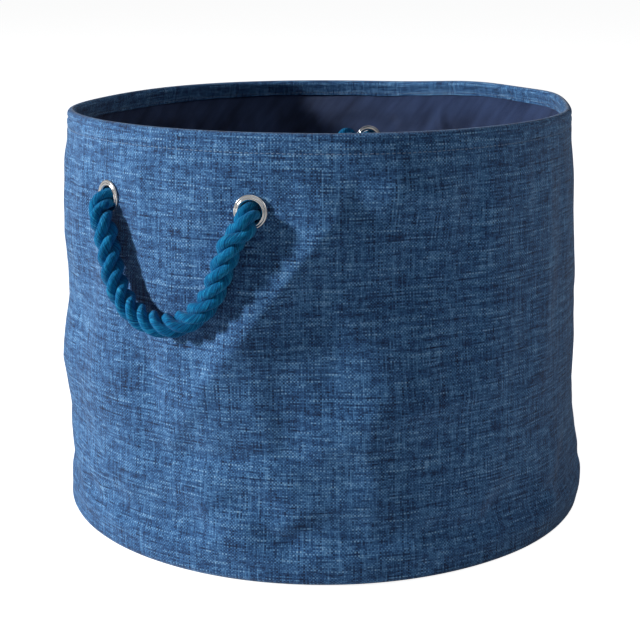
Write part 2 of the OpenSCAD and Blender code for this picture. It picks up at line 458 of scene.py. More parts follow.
def fit(piece, node):
    """The piece rides on the bin in its CAD node's place."""
    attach(piece, "bin")
    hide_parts(node)


def along(line):
    """Arc length at each point of a line."""
    return np.r_[0, np.cumsum(np.linalg.norm(np.diff(line, axis=0), axis=1))]


def smooth_line(points, step):
    """Catmull-Rom through the points, resampled evenly at about the step."""
    p = np.asarray(points, float)
    p = np.vstack([2 * p[0] - p[1], p, 2 * p[-1] - p[-2]])
    t = np.linspace(0, 1, 24, endpoint=False)[:, None]
    out = []
    for a, b, c, d in zip(p, p[1:], p[2:], p[3:]):
        out.append(0.5 * (2 * b + (c - a) * t + (2 * a - 5 * b + 4 * c - d) * t ** 2
                          + (3 * b - a - 3 * c + d) * t ** 3))
    out.append(p[-2:-1])
    return resample(np.vstack(out), step)


def resample(line, step):
    d = along(line)
    n = max(2, int(round(d[-1] / step)) + 1)
    s = np.linspace(0, d[-1], n)
    return np.stack([np.interp(s, d, line[:, k]) for k in range(line.shape[1])], 1)


# ---------------------------------------------------------------- the wall's shape
def bell(distance, width):
    return np.exp(-(distance / width) ** 2)


def ease(f):
    """0 to 1 with no kink at either end."""
    f = np.clip(f, 0, 1)
    return f * f * (3 - 2 * f)


def spline_weights(f):
    """Weights of the four nearest knots of a cubic B-spline."""
    return np.stack([(1 - f) ** 3, 3 * f ** 3 - 6 * f ** 2 + 4,
                     -3 * f ** 3 + 3 * f ** 2 + 3 * f + 1, f ** 3]) / 6


def sample(table, phi, z):
    """Smooth values of a table over phi (closed, 0 to 360) and z (0 to the bin's height)."""
    n, m = table.shape
    x = np.asarray(phi) / 360.0 * n
    y = np.clip(np.asarray(z) / BIN_H, 0, 1) * (m - 1)
    ix, iy = np.floor(x).astype(int), np.minimum(np.floor(y).astype(int), m - 2)
    wx, wy = spline_weights(x - ix), spline_weights(y - iy)
    total = 0.0
    for a in range(4):
        for b in range(4):
            knot = table[(ix + a - 1) % n, np.clip(iy + b - 1, 0, m - 1)]
            total = total + wx[a] * wy[b] * knot
    return total


def soft_noise(phi, z, across, up, seed):
    """Smooth noise of about unit size with that many cells round the wall and up it."""
    table = np.random.default_rng(seed).uniform(-1.6, 1.6, (across, up))
    return sample(table, phi, z)


def turn(phi, centre):
    """The angle from centre to phi, from -180 to 180."""
    return (np.asarray(phi) - centre + 180) % 360 - 180


def bells(phi, table):
    """The sum of smooth swellings round the bin, each given as (size, angle, width)."""
    return sum(size * bell(turn(phi, centre), width) for size, centre, width in table)


# The wall's profile where it leans in and out, as (height, offset), at angles round the bin
PROFILES = {
    -49: [(0, -1.5), (11, -2.2), (30, -2.4), (53, -2.4), (77, -4.0), (95, -1.0), (118, 3.0),
        (140, 1.6), (165, -1.5), (190, -0.4), (215, 2.2), (240, 2.9), (265, 1.6), (287, 0.3),
        (305, 0)],
    28: [(0, 4.5), (14, 5.2), (36, 3.0), (66, 0.8), (100, 0), (305, 0)],
    72: [(0, 4.0), (14, 4.2), (40, 1.8), (80, 0), (305, 0)],
    111: [(0, 3.0), (13, 6.3), (25, 6.0), (37, 4.7), (55, 1.8), (70, 0.5), (118, 0.8), (165, -0.6),
        (200, 0.4), (225, 0.3), (287, -0.1), (305, 0)],
    160: [(0, 0.5), (20, 2.4), (60, 1.0), (110, -2.2), (160, 1.2), (210, -1.0), (260, 0.6),
        (305, 0)],
    225: [(0, -1.0), (25, 1.6), (70, -2.0), (120, 1.4), (175, 2.2), (220, -0.8), (260, 0.5),
        (305, 0)],
}
PROFILE_SPREAD = 34.0
MM_PER_DEGREE = 3.35  # round the wall, halfway up

# Folds in the wall: points as (phi, z, height), then how far in mm each flank reaches, first on
# the side that lies to the left when facing along the points, and the roundness of the crown
FOLDS = [
    ([(40, 264, 0.0), (34.5, 250, 3.8), (30.5, 235, 7.6), (26, 214, 9.6), (22, 194, 9.6),
      (17.5, 175, 8.4), (12.5, 154, 7.2), (7.5, 130, 6.2), (3.5, 108, 5.4), (0, 90, 3.8),
      (-3, 76, 0.0)], 16, 26, 1.2),
    ([(56, 262, 0.0), (54, 236, -4.2), (49, 208, -7.0), (43, 184, -6.6), (36, 160, -4.4),
      (28, 138, 0.0)], 34, 30, 10.0),
    ([(54, 300, 4.0), (50, 282, 5.6), (46, 266, 4.8), (42, 250, 0.0)], 34, 86, 8.0),
    ([(-9, 84, 0.0), (-3, 83, -3.0), (5, 83, -6.0), (14, 86, -5.0), (24, 90, -3.0),
      (32, 95, 0.0)], 17, 9, 1.2),
    ([(24, 94, 0.0), (30, 96, 2.6), (36, 98, 4.0), (41, 97, 2.4), (46, 94, 0.0)], 12, 12, 1.2),
    ([(26, 111, 0.0), (37, 116, 3.2), (49, 120, 5.4), (60, 124, 4.4),
      (74, 129, 0.0)], 22, 11, 1.5),
    ([(-9, 160, 0.0), (-6.5, 144, -3.2), (-5, 126, -3.4), (-4.5, 106, 0.0)], 10, 9, 1.5),
    ([(17, 41, 0.0), (21, 37, -2.8), (26, 29, -3.0), (31, 23, 0.0)], 7, 9, 1.0),
    ([(41, 88, 0.0), (42, 100, 1.5), (42, 120, 1.7), (41, 138, 0.0)], 14, 10, 1.5),
    ([(43, 276, 0.0), (48, 268, 2.2), (54, 263, 2.6), (62, 261, 0.0)], 7, 10, 1.2),
    ([(84, 210, 0.0), (87, 180, 1.3), (86, 150, 1.6), (82, 120, 1.2),
      (78, 96, 0.0)], 16, 18, 3.0),
    ([(70, 100, 0.0), (80, 90, -0.9), (92, 86, -1.1), (104, 90, 0.0)], 10, 10, 2.0),
    ([(-44, 210, 0.0), (-38, 190, -1.2), (-34, 165, -1.4), (-33, 140, 0.0)], 14, 12, 2.0),
    ([(-46, 60, 0.0), (-38, 68, -1.0), (-28, 70, -1.2), (-18, 64, 0.0)], 9, 9, 1.5),
    ([(126, 240, 0.0), (121, 205, 2.2), (115, 170, 2.6), (108, 135, 1.8),
      (103, 105, 0.0)], 18, 22, 2.2),
    ([(120, 70, 0.0), (132, 78, -1.5), (146, 76, -1.6), (160, 66, 0.0)], 10, 12, 1.6),
    ([(218, 246, 0.0), (212, 212, 2.6), (204, 176, 3.2), (196, 140, 2.6), (190, 100, 1.4),
      (187, 70, 0.0)], 20, 18, 1.8),
    ([(150, 205, 0.0), (160, 176, 1.6), (170, 150, 2.0), (178, 120, 0.0)], 14, 16, 2.0),
    ([(172, 84, 0.0), (184, 76, -1.4), (198, 78, -1.5), (212, 88, 0.0)], 10, 10, 1.4),
    ([(250, 250, 0.0), (243, 215, 1.6), (238, 180, 2.4), (236, 140, 1.8),
      (238, 104, 0.0)], 18, 20, 2.5),
    ([(262, 90, 0.0), (272, 100, -1.6), (284, 98, -1.8), (296, 86, 0.0)], 12, 12, 1.8),
    ([(288, 232, 0.0), (282, 200, 1.5), (279, 168, 1.9), (281, 130, 0.0)], 16, 18, 2.2),
    ([(228, 50, 0.0), (238, 42, -1.2), (250, 44, -1.2), (262, 52, 0.0)], 8, 10, 1.4),
]


def fold_height(phi, z, points, reach_left, reach_right, crown):
    """How far one fold stands out at each point of the wall."""
    pts = np.array(points, float)
    mid = pts[:, 0].mean()
    x, y = turn(phi, mid) * MM_PER_DEGREE, np.asarray(z, float)
    px, py, ph = (pts[:, 0] - mid) * MM_PER_DEGREE, pts[:, 1], pts[:, 2]
    best, side, height = np.full(x.shape, 1e9), np.zeros(x.shape), np.zeros(x.shape)
    for k in range(len(pts) - 1):
        dx, dy = px[k + 1] - px[k], py[k + 1] - py[k]
        t = np.clip(((x - px[k]) * dx + (y - py[k]) * dy) / (dx * dx + dy * dy), 0, 1)
        ex, ey = x - px[k] - t * dx, y - py[k] - t * dy
        dist = np.hypot(ex, ey)
        near = dist < best
        best = np.where(near, dist, best)
        side = np.where(near, np.sign(dx * ey - dy * ex), side)
        height = np.where(near, ph[k] + t * (ph[k + 1] - ph[k]), height)
    soft = np.sqrt(best ** 2 + crown ** 2) - crown
    reach = np.where(side > 0, reach_left, reach_right)
    return height * np.exp(-(soft / reach) ** 1.15)


def eyelet_distance(phi, z):
    """Distance along the wall to the nearest eyelet's centre."""
    across = np.min([np.abs(turn(phi, centre)) for centre in EYELET_PHIS.values()], 0)
    return np.hypot(across * math.pi / 180 * wall_r(EYELET_Z), z - EYELET_Z)


def place(phi, r, z):
    """Points at angles phi, radii r and heights z."""
    a = np.radians(phi)
    return np.stack([r * np.sin(a), -r * np.cos(a), z + 0 * r], -1)


def crumple(name, low, high, growth, stiffness, weight, seed):
    """Cloth simulation of a tube held along both edges, whose cloth is a little larger than its
    place. Gives its radial movement in mm as a table over phi and z."""
    cols, rows = 168, 46
    phi = np.arange(cols) * 360 / cols
    z = np.linspace(low, high, rows)
    pp, zz = np.meshgrid(phi, z, indexing="xy")
    start = 0.6 * soft_noise(pp, zz, 13, 6, seed) * np.sin(np.pi * (zz - low) / (high - low))
    points = place(pp, wall_r(zz) + start, zz).reshape(-1, 3)
    obj = make_mesh(name, points, grid_faces(rows, cols, True), FABRIC)
    pins = obj.vertex_groups.new(name="held")
    row = np.repeat(np.arange(rows), cols)
    held = (row < 2) | (row > rows - 3) | (eyelet_distance(pp, zz).ravel() < 12)
    pins.add(np.flatnonzero(held).tolist(), 1.0, "REPLACE")
    cloth = obj.modifiers.new("cloth", "CLOTH")
    settings = {
        "quality": 5, "mass": 0.25, "tension_stiffness": 25, "compression_stiffness": 25,
        "shear_stiffness": 12, "bending_stiffness": stiffness, "tension_damping": 15,
        "compression_damping": 15, "bending_damping": 2, "shrink_min": -growth,
        "vertex_group_mass": "held",
    }
    for key, value in settings.items():
        setattr(cloth.settings, key, value)
    cloth.settings.effector_weights.gravity = weight
    cloth.point_cache.frame_start, cloth.point_cache.frame_end = 1, SIM_FRAMES
    scene.frame_start, scene.frame_end = 1, SIM_FRAMES
    for f in range(1, SIM_FRAMES + 1):
        scene.frame_set(f)
    result = obj.evaluated_get(bpy.context.evaluated_depsgraph_get()).data
    co = np.empty(len(result.vertices) * 3, np.float32)
    result.vertices.foreach_get("co", co)
    co = co.reshape(rows, cols, 3) / MM
    moved = np.hypot(co[..., 0], co[..., 1]) - wall_r(zz)
    bpy.data.objects.remove(obj)
    scene.frame_set(1)
    # the table runs over the whole height, still at both held edges
    heights = np.linspace(0, BIN_H, rows)
    return np.array([np.interp(heights, z, moved[:, c], left=0, right=0) for c in range(cols)])


def capped(value, limit):
    return limit * np.tanh(value / limit)


SIM_FRAMES = 22
WALL_SIM = crumple("wall_cloth", 10, HEM_Z - 4, 0.012, 6.0, 0.4, 5)
LINING_SIM = crumple("lining_cloth", 10, HEM_Z - 2, 0.030, 0.8, 0.8, 8)


def shape_offset(phi, z):
    """How far the outer cloth stands out of the plain cone, in mm."""
    total = np.zeros(phi.shape)
    for centre, rows in PROFILES.items():
        heights, values = zip(*rows)
        total += np.interp(z, heights, values) * bell(turn(phi, centre), PROFILE_SPREAD)
    for points, left, right, crown in FOLDS:
        angles = [p[0] for p in points]
        middle, half = (min(angles) + max(angles)) / 2, (max(angles) - min(angles)) / 2 + 30
        near = np.abs(turn(phi[:, 0], middle)) < half
        total[near] += fold_height(phi[near], z[near], points, left, right, crown)
    total += capped(sample(WALL_SIM, phi, z), 2.6)
    calm = np.clip((BIN_H - z) / 30, 0.25, 1) * np.clip((z + 6) / 18, 0.3, 1)
    total += calm * (0.55 * soft_noise(phi, z, 22, 9, 21) + 0.32 * soft_noise(phi, z, 60, 20, 22))
    # the seat of each eyelet stays true, and the cloth is drawn in a little around it
    d = eyelet_distance(phi, z)
    seat, pinch = ease((d - 13) / 22), -0.5 * bell(d - 14, 5)
    # the rim holds the hoop, so it moves less
    rim = 0.35 + 0.65 * ease((BIN_H - z) / 40)
    flat = bells(phi, RIM_FLATS) * np.clip((z - 180) / 125, 0, 1)
    return total * seat * rim + pinch * (z < 300) - flat


# The sprung hoop is flatter at the left and has a corner at the rear right: how far it lies inside
# a true circle, how far it stands up, and how much narrower the hem inside it is
RIM_FLATS = ((1.5, 172, 16), (-5.5, 143, 14), (1.5, 116, 12), (3.0, 284, 26))
RIM_LIFTS = ((4.0, 165, 17), (2.4, 136, 14), (-2.2, 284, 30))
HEM_LIFTS = ((3.6, 155, 45), (1.6, 225, 25))

OFFSETS = shape_offset(
    *np.meshgrid(np.arange(0, 360, 0.5), np.linspace(0, BIN_H, 204), indexing="ij"))


def offset(phi, z):
    """The same at any point, read from a fine table."""
    return sample(OFFSETS, *np.broadcast_arrays(np.asarray(phi, float), np.asarray(z, float)))


def lift(phi, z):
    """Heights on the wall, whose rim stands a little high at the rear right and low at the left."""
    return z + bells(phi, RIM_LIFTS) * ease((np.asarray(z, float) - 268) / 34)


def hem_lift(phi):
    return bells(phi, HEM_LIFTS)


def hem_share(z):
    """0 at the hoop to 1 at the hem's edge."""
    return (HOOP_Z - z) / (HOOP_Z - HEM_Z)


def hem_r(z):
    """Radius of the face of the hem, inside the rim."""
    top_r = HOOP_R - ROLL_R
    low_r = wall_r(HEM_Z) - (LINING_INSET + LINING_T + CLOTH_T) / math.cos(LEAN)
    return top_r + hem_share(z) * (low_r - top_r)


def outer_skin(phi, z, out=0.0):
    """Points on the outer face of the outer cloth, or that far outside it."""
    return place(phi, wall_r(z) + offset(phi, z) + out, lift(phi, z))


def arc(x, z, r, start, end, count):
    """(radius, height) points of an arc in the wall's section, between two angles."""
    return [(x + r * math.cos(a), z + r * math.sin(a))
            for a in np.radians(np.linspace(start, end, count))]


# ---------------------------------------------------------------- outer cloth
def phi_steps():
    """Angles round the bin, closer together at the side seam."""
    base = np.arange(0, 360, 0.45)
    near = SIDE_SEAM_PHI + np.arange(-1.6, 1.61, 0.12)
    keep = base[np.abs(turn(base, SIDE_SEAM_PHI)) > 1.75]
    return np.sort(np.concatenate([keep, near]))


def groove(value, centre, width, depth):
    return -depth * bell(value - centre, width)


def outer_profile():
    """(radius, height, side) along the outer cloth's section: from the base seam, up the outside,
    over the hoop and down inside to the hem."""
    # a short turned-in edge at the base seam, then the soft corner
    rows = [(CORNER_X - 1.2, 1.6, "free"), (CORNER_X - 0.3, 0.7, "free")]
    rows += [(r, z, "out") for r, z in arc(CORNER_X, CORNER_R, CORNER_R, -86, 0, 9)]
    z = CORNER_R + 1.5
    while z < HOOP_Z - 0.3:
        rows.append((wall_r(z), z, "out"))
        z += 0.55 if z > STITCH_Z - 2.2 else 1.9
    rows += [(r, z, "roll") for r, z in arc(HOOP_R, HOOP_Z, ROLL_R, 0, 180, 17)]
    return rows + [(hem_r(z), z, "in") for z in np.linspace(HOOP_Z - 0.9, HEM_Z, 15)]


def build_outer_wall():
    rows = outer_profile()
    phi = phi_steps()
    seam = turn(phi, SIDE_SEAM_PHI)
    points = []
    for r, z, side in rows:
        level, rr = np.full(phi.shape, z), np.full(phi.shape, r)
        d = offset(phi, 0.0 if side == "free" else max(z, 0.0))
        if side == "out":
            rr = rr + groove(z, STITCH_Z + hem_lift(phi), 1.6, 0.6)
            rr = rr + groove(z, HOOP_Z - 2.6, 1.2, 0.8)
            rr = rr + 0.25 * soft_noise(phi, level, 150, 40, 31) * np.clip((z - 4) / 20, 0, 1)
            ridge = groove(seam, 0.0, 0.28, 0.9) + 0.5 * bell(seam, 1.2)
            rr = rr + ridge * np.clip((z - 6) / 10, 0, 1)
        elif side == "in":
            rr = rr + 0.35 * soft_noise(phi, level, 90, 60, 33) * (1 - (z - HEM_Z) / HEM_H)
            rr = rr - groove(z, STITCH_Z, 0.9, 0.4) - groove(seam, 0.0, 0.3, 0.7)
            edge = hem_lift(phi) + 0.3 * soft_noise(phi, 0 * phi, 70, 4, 35)
            level = level + edge * hem_share(z)
        points.append(place(phi, rr + d, lift(phi, level)))
    uv = tube_uv(phi, along([row[:2] for row in rows]), OUTER_MAP_R)
    obj = make_mesh("outer_cloth", np.concatenate(points), grid_faces(len(rows), len(phi), True),
                    FABRIC, uv)
    cut_eyelets(obj)
    return thicken(obj, CLOTH_T - 0.1)


def eyelet_frame(name):
    """Centre and axes (down, along the wall, outwards) of an eyelet, in mm."""
    a = math.radians(EYELET_PHIS[name])
    out = np.array([math.sin(a), -math.cos(a), 0.0])
    down = np.array([0.0, 0.0, -1.0])
    return out * wall_r(EYELET_Z) + [0, 0, EYELET_Z], np.stack([down, np.cross(out, down), out])


def to_world(name, points):
    centre, axes = eyelet_frame(name)
    return centre + np.asarray(points) @ axes


def cut_eyelets(obj, radius=8.7, reach=20):
    """Round holes in a single sheet at the four eyelets."""
    frames = [eyelet_frame(name) for name in EYELET_PHIS]

    def nearest(point, limit):
        """The eyelet within that distance of a point, and the point in its frame."""
        if abs(point[2] - EYELET_Z) <= limit + 3:
            for centre, axes in frames:
                local = axes @ (point - centre)
                if math.hypot(local[0], local[1]) < limit and abs(local[2]) < reach:
                    return centre, axes, local
        return None

    bm = bmesh.new()
    bm.from_mesh(obj.data)
    doomed = [face for face in bm.faces
              if nearest(np.array(face.calc_center_median()) / MM, radius)]
    bmesh.ops.delete(bm, geom=doomed, context="FACES")
    for vert in bm.verts:
        found = vert.is_boundary and nearest(np.array(vert.co) / MM, radius + 3)
        if found:
            centre, axes, local = found
            local[:2] *= radius / math.hypot(local[0], local[1])
            vert.co = (centre + local @ axes) * MM
    bm.to_mesh(obj.data)
    bm.free()


outer_cloth = build_outer_wall()
fit(outer_cloth, "outer_wall")


def disc(name, radius_of, z_of, thickness, material, rings=60, cols=360):
    """A round sheet with its own edge line and height, its weave running straight across."""
    phi = np.arange(cols) * 360 / cols
    edge = radius_of(phi)
    points = [[[0, 0, z_of(np.zeros(1), np.zeros(1))[0]]]]
    for f in np.linspace(0, 1, rings + 1)[1:]:
        points.append(place(phi, edge * f, z_of(phi, np.full(cols, f))))
    points = np.concatenate(points)
    faces = [[0, 1 + c, 1 + (c + 1) % cols] for c in range(cols)]
    faces += (grid_faces(rings, cols, True) + 1).tolist()
    uv = points[np.concatenate(faces), :2] * MM
    return thicken(make_mesh(name, points, faces, material, uv), thickness)


def base_sheet_z(phi, f):
    """The base lies on the floor, with slight quilting and an edge that turns up into the seam."""
    quilting = 0.35 * (1 + soft_noise(phi, f * BIN_H, 14, 8, 41) / 1.6)
    return 1.0 + quilting * np.clip((1 - f) / 0.1, 0, 1) + 0.6 * np.clip((f - 0.992) / 0.008, 0, 1)


outer_base = disc(
    "base_cloth", lambda p: CORNER_X - 1.5 + offset(p, 0.0), base_sheet_z, 0.9, FABRIC)
fit(outer_base, "outer_base")


# ---------------------------------------------------------------- lining
LINING_CORNER_R, LINING_CORNER_TURN = EDGE_R - CLOTH_T - 1 - LINING_T, 88.0


def lining_inner(phi, z):
    """Offset of the lining's inner face from the plain cone."""
    calm = np.clip((HEM_Z + 1 - z) / 13, 0, 1) * np.clip(z / 40, 0, 1)
    folds = 2.0 + 1.2 * capped(sample(LINING_SIM, phi, z), 6.0)
    folds = folds + 3.4 * soft_noise(phi + (z - 150) * 0.4, z, 20, 5, 51)
    folds = folds + 2.0 * soft_noise(phi - (z - 150) * 0.6, z, 44, 7, 52)
    pleat = 2.2 * bell(turn(phi, LINING_SEAM_PHI), 1.1)
    into = np.maximum(folds * calm, 0) + pleat * np.clip((HEM_Z + 3 - z) / 20, 0.2, 1)
    into = into * ease((eyelet_distance(phi, z) - 13) / 26)
    return offset(phi, z) - (LINING_INSET + LINING_T) / math.cos(LEAN) - into


def build_lining_wall():
    phi = np.arange(0, 360, 0.6)
    low = LINING_LOW + LINING_T + LINING_CORNER_R
    rows = arc(-LINING_CORNER_R, low, LINING_CORNER_R, -LINING_CORNER_TURN, 0, 7)
    rows += [(0.0, z) for z in np.arange(low + 3, HEM_Z + 7.5, 3.0)]
    points = []
    for dr, z in rows:
        level = np.full_like(phi, z)
        points.append(place(phi, wall_r(z) + lining_inner(phi, level) + dr, lift(phi, level)))
    uv = tube_uv(phi, along(rows), LINING_MAP_R)
    faces, uv = turned_over(grid_faces(len(rows), len(phi), True), uv)
    obj = make_mesh("lining_cloth_wall", np.concatenate(points), faces, LINING, uv)
    cut_eyelets(obj)
    return thicken(obj, LINING_T - 0.2)


lining_wall = build_lining_wall()
fit(lining_wall, "lining_wall")


def lining_floor_z(phi, f):
    waves = 0.5 * (1 + soft_noise(phi, f * BIN_H, 18, 9, 61) / 1.6)
    waves = waves + 0.3 * (1 + soft_noise(phi, f * BIN_H, 40, 16, 62) / 1.6)
    return LINING_LOW + LINING_T + waves * np.clip((1 - f) / 0.08, 0, 1) * np.clip(f / 0.2, 0, 1)


def lining_floor_r(phi):
    z = LINING_LOW + LINING_T
    corner = LINING_CORNER_R * (1 - math.cos(math.radians(LINING_CORNER_TURN)))
    return wall_r(z) + lining_inner(phi, np.full_like(phi, z)) - corner + 0.4


lining_floor = disc("lining_cloth_floor", lining_floor_r, lining_floor_z, LINING_T - 0.2, LINING)
fit(lining_floor, "lining_base")


# ---------------------------------------------------------------- hidden metal, seams and board
def rim_tube(name, phi, radius, wrap=True, sides=20):
    """A wire of that radius, or one radius for each angle, that follows the rim."""
    centre, level = HOOP_R + offset(phi, HOOP_Z), lift(phi, HOOP_Z)
    b = np.linspace(0, 2 * math.pi, sides, endpoint=False)
    points = np.stack([place(phi, centre + radius * math.cos(t), level + radius * math.sin(t))
                       for t in b], 1)
    faces = ring_faces(len(phi), sides) if wrap else grid_faces(len(phi), sides, True)
    return make_mesh(name, points.reshape(-1, 3), faces, STEEL)


fit(rim_tube("rim_wire", np.arange(0, 360, 1.0), WIRE_D / 2), "rim_hoop")


def build_ferrule():
    """The tube crimped over the wire's ends, with three crimps and turned-in lips."""
    phi = SIDE_SEAM_PHI + np.linspace(-FERRULE_ANGLE / 2, FERRULE_ANGLE / 2, 73)
    t = np.linspace(-1, 1, 73)
    crimp = sum(bell(t - c, 0.09) for c in (-0.5, 0.0, 0.5))
    radius = FERRULE_D / 2 - 0.35 * crimp - 0.4 * np.clip((np.abs(t) - 0.96) / 0.04, 0, 1)
    radius[[0, -1]] = WIRE_D / 2 + 0.02
    return rim_tube("rim_ferrule", phi, radius, wrap=False)


fit(build_ferrule(), "hoop_ferrule")


def build_bottom_seam():
    """The two cloth edges of the base seam, turned in flat around the board."""
    phi = np.arange(0, 360, 1.0)
    points = []
    outer = BOTTOM_R - 1.2 + offset(phi, 0.0)
    for f in np.linspace(0, 1, 9):
        r = outer - f * (outer - (BOTTOM_R - SEAM_W + 0.1))
        wave = 0.12 * soft_noise(phi, np.full_like(phi, f * BIN_H), 60, 5, 71)
        points.append(place(phi, r, 2.95 + wave * (f > 0)))
    uv = tube_uv(phi, np.linspace(0, SEAM_W, 9), BOTTOM_MAP_R)
    faces, uv = turned_over(grid_faces(9, len(phi), True), uv)
    return thicken(make_mesh("base_seam_cloth", np.concatenate(points), faces, FABRIC, uv), 0.8)


fit(build_bottom_seam(), "bottom_seam")


def build_strip(name, centre, near, thickness, material):
    """A folded seam allowance that runs up the wall behind its cloth."""
    width = SEAM_W / wall_r(BIN_H / 2) * 180 / math.pi
    phi = centre + np.linspace(-width / 2, width / 2, 15)
    z = np.linspace(EDGE_R + LINING_LOW, HEM_Z + 5, 120)
    pp, zz = np.meshgrid(phi, z, indexing="xy")
    r = wall_r(zz) + offset(pp, zz) - near / math.cos(LEAN)
    fray = 0.045 * soft_noise(pp, zz, 360, 60, 73) * (np.abs(turn(pp, centre)) > width / 2 - 0.01)
    uv = grid_uv(np.radians(phi) * STRIP_MAP_R * MM, z * MM)
    faces = grid_faces(len(z), len(phi), False)
    points = place(pp + fray, r, zz).reshape(-1, 3)
    return thicken(make_mesh(name, points, faces, material, uv), thickness)


fit(build_strip("side_seam_cloth", SIDE_SEAM_PHI, CLOTH_T + 0.05, 0.9, FABRIC),
    "side_seam")
fit(build_strip("lining_seam_cloth", LINING_SEAM_PHI, CLOTH_T + 0.15, 0.8, LINING),
    "lining_seam")

# the board keeps its CAD shape
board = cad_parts["base_board"].data
board.materials.clear()
board.materials.append(BOARD)


# ---------------------------------------------------------------- stitches
def capsules(name, centres, way, outward, length, radius, material):
    """Many short round stitches in one mesh."""
    way = way / np.linalg.norm(way, axis=1, keepdims=True)
    outward = outward - way * (outward * way).sum(1, keepdims=True)
    outward /= np.linalg.norm(outward, axis=1, keepdims=True)
    across = np.cross(way, outward)
    # one ring of a stitch: its place along it, its size, and how far its middle stands out
    rings = ((-0.5, 0.25, -1.2), (-0.42, 0.75, -0.5), (-0.25, 1.0, 0.0), (0.0, 1.05, 0.15),
             (0.25, 1.0, 0.0), (0.42, 0.75, -0.5), (0.5, 0.25, -1.2))
    sides = 7
    b = np.linspace(0, 2 * math.pi, sides, endpoint=False)[None, :, None]
    round_it = outward[:, None] * np.sin(b) * 0.8 + across[:, None] * np.cos(b)
    points = []
    for t, size, up in rings:
        mid = centres + way * (t * length) + outward * (up * radius)
        points.append(mid[:, None] + radius * size * round_it)
    first = np.arange(len(centres)) * len(rings) * sides
    faces = (grid_faces(len(rings), sides, True)[None] + first[:, None, None]).reshape(-1, 4)
    return make_mesh(name, np.stack(points, 1).reshape(-1, 3), faces, material)


def build_stitches():
    """The row of stitches that holds the hem, outside and inside."""
    count = int(math.pi * RIM_D / STITCH_PITCH)
    rng = np.random.default_rng(17)
    phi = np.arange(count) * 360 / count + rng.uniform(-0.03, 0.03, count)
    z = STITCH_Z + hem_lift(phi) + rng.uniform(-0.12, 0.12, count)
    a = np.radians(phi)
    tangent = np.stack([np.cos(a), np.sin(a), 0 * a], 1)
    out = np.stack([np.sin(a), -np.cos(a), 0 * a], 1)
    outer = outer_skin(phi, z, -0.35)
    share = (HOOP_Z - z) / (HOOP_Z - HEM_Z - hem_lift(phi))
    flat_z = HOOP_Z - share * (HOOP_Z - HEM_Z)
    inner = place(phi, hem_r(flat_z) + offset(phi, flat_z) + 0.28, lift(phi, z))
    tilt = tangent + np.array([0, 0, 1.0]) * rng.uniform(-0.05, 0.05, (count, 1))
    return (capsules("hem_stitches_outside", outer, tilt, out, STITCH_L, STITCH_R, THREAD),
            capsules("hem_stitches_inside", inner, tilt, -out, STITCH_L, STITCH_R, THREAD))


STITCH_PITCH, STITCH_L, STITCH_R = 3.5, 2.6, 0.3
for piece in build_stitches():
    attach(piece, "bin")

# ---------------------------------------------------------------- eyelets and washers
# sections as (radius, height), the height counted outwards from the wall's face
FLANGE = [
    (7.5, -5.6), (7.5, 0.2), (7.58, 0.75), (7.85, 1.25), (8.35, 1.6), (8.85, 1.65), (9.3, 1.5),
    (9.6, 1.22), (9.82, 1.12), (10.1, 1.22), (10.5, 1.3), (10.95, 1.18), (11.3, 0.88), (11.5, 0.5),
    (11.42, 0.15), (11.1, -0.05), (9.0, -0.1), (8.25, -0.2), (8.2, -0.9), (8.2, -4.7),
    (8.35, -4.85), (9.2, -4.8), (9.6, -5.0), (9.8, -5.4), (9.55, -5.85), (9.0, -6.0), (8.2, -6.0),
    (7.75, -5.9),
]
WASHER = [
    (8.35, -4.75), (8.35, -3.95), (8.6, -3.8), (11.1, -3.8), (11.4, -4.0), (11.5, -4.3),
    (11.35, -4.65), (11.0, -4.8), (10.4, -4.72), (10.0, -4.6), (9.6, -4.72), (9.2, -4.8),
    (8.6, -4.8),
]


def ring_piece(name, where, profile):
    """A turned ring at an eyelet, from the (radius, height) points of its section."""
    section = smooth_line(np.array(profile + [profile[0]]), 0.16)[:-1]
    a = np.linspace(0, 2 * math.pi, 96, endpoint=False)
    points = np.concatenate([np.stack([r * np.cos(a), r * np.sin(a), np.full_like(a, h)], 1)
                             for r, h in section])
    obj = make_mesh(name, to_world(where, points), ring_faces(len(section), len(a)), CHROME)
    return face_outwards(obj)


for where in EYELET_PHIS:
    for kind, profile in (("eyelet", FLANGE), ("washer", WASHER)):
        piece = ring_piece(f"{kind}_ring_{where}", where, profile)
        fit(piece, f"{kind}_{where}")


# ---------------------------------------------------------------- rope
STEP = 0.8
LAY, LAY_START = 37.0, 0.4
STRAND_R, STRAND_OFF, STRAND_SIDES = 4.3, 4.2, 34
YARNS, YARN_LAY = 9, 32.0
SAG = 1.025  # the loop hangs a little lower than the CAD model's
FULLER = 3.0  # and its bottom stands this much farther off the wall


